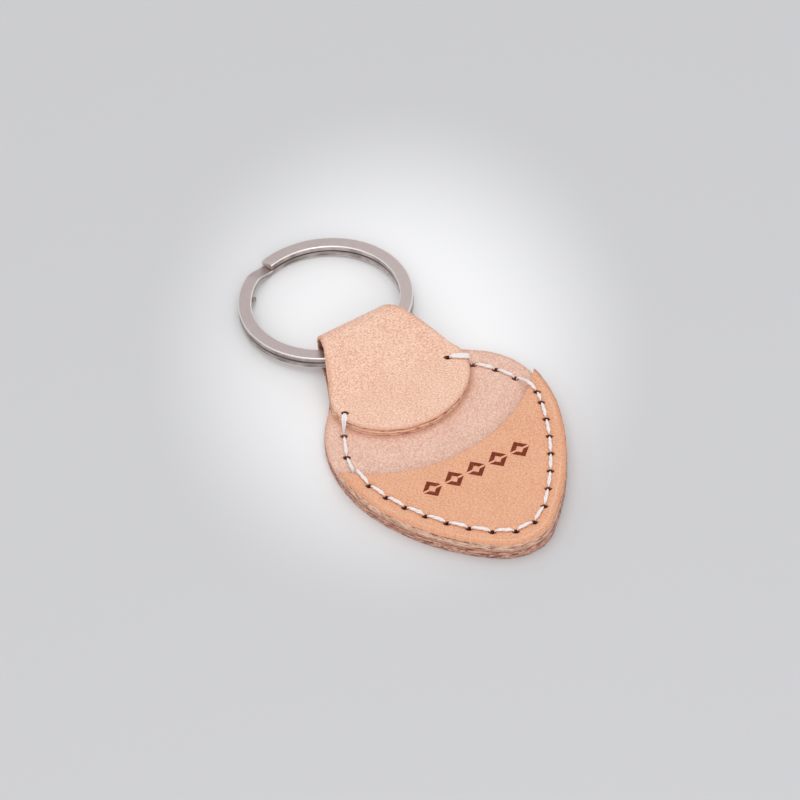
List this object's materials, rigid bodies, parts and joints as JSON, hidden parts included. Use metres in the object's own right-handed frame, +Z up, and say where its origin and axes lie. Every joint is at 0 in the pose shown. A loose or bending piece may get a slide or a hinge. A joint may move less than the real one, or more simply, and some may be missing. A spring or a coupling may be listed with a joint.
{
  "type": "leather pick holder",
  "caption": "Small leather pouch cut in the shape of a plectrum, with a stitched front pocket for picks and a folded strap that holds a split ring",
  "frame": {"origin": "centre of the bounding box in plan, on the flat back face that the holder lies on", "axes": "+X across the holder, +Y from the pocket's tip to the ring, +Z up out of the front face"},
  "size_m": [0.0398, 0.0802, 0.0077],
  "materials": {
    "natural_leather": "vegetable-tanned leather, pebbled grain outside and napped flesh side inside, cut edges",
    "pocket_leather": "vegetable-tanned leather, smooth grain, burnished edge",
    "thread": "off-white twisted sewing thread",
    "ring_metal": "satin nickel-plated steel"
  },
  "bodies": {
    "pouch": {"leather_body": "natural_leather", "pick_pocket": "pocket_leather", "front_thread": "thread", "back_thread": "thread"},
    "ring": {"split_ring": "ring_metal"}
  },
  "joints": [
    {"name": "ring_swing", "type": "hinge", "parent": "pouch", "child": "ring", "pos_m": [0, 0.01168, 0.00295], "axis": [1, 0, 0], "range_deg": [-10, 75]}
  ]
}
